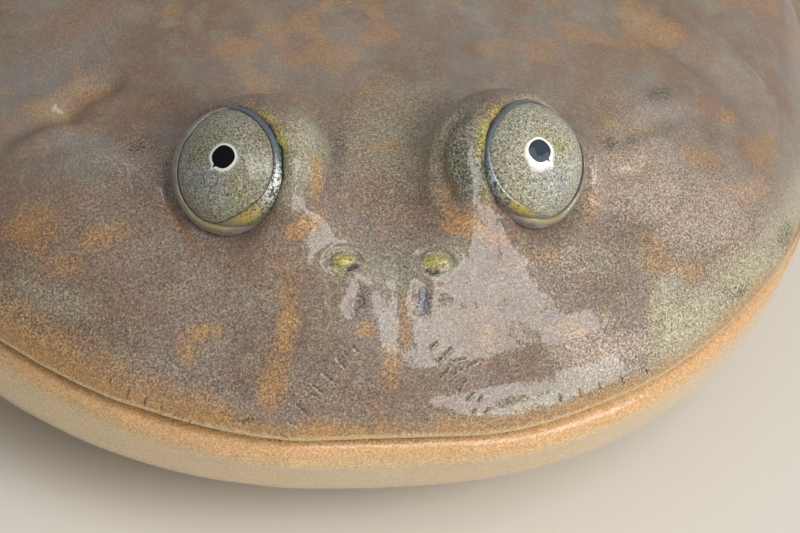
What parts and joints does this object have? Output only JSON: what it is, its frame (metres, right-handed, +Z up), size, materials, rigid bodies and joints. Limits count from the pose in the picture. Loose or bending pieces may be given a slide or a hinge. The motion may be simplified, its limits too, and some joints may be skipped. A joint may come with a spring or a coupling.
{
  "type": "budgett's frog",
  "caption": "Still, life-size model of a broad, flat-headed frog resting on its belly, with high-set eyes, a very wide mouth, short limbs and webbed hind feet.",
  "frame": {"origin": "on the floor under the belly, on the midline, half way from snout to vent", "axes": "+Z up; the frog faces -Y, and its own left side is +X"},
  "size_m": [0.1383, 0.1083, 0.0344],
  "materials": {
    "skin": "wet, stippled mauve-grey and olive brown with ochre blotches",
    "jaw": "wet, pale cream to orange",
    "eye": "clear wet cornea over a finely dotted cream and grey-green iris",
    "spade": "smooth black horn"
  },
  "bodies": {
    "root": {"head": "skin", "lower_jaw": "jaw", "torso": "skin", "eye_left": "eye", "eye_right": "eye", "upper_arm_left": "skin", "upper_arm_right": "skin", "forearm_left": "skin", "forearm_right": "skin", "hand_left": "skin", "hand_right": "skin", "thigh_left": "skin", "thigh_right": "skin", "shank_left": "skin", "shank_right": "skin", "foot_left": "skin", "foot_right": "skin", "spade_left": "spade", "spade_right": "spade"}
  },
  "joints": []
}
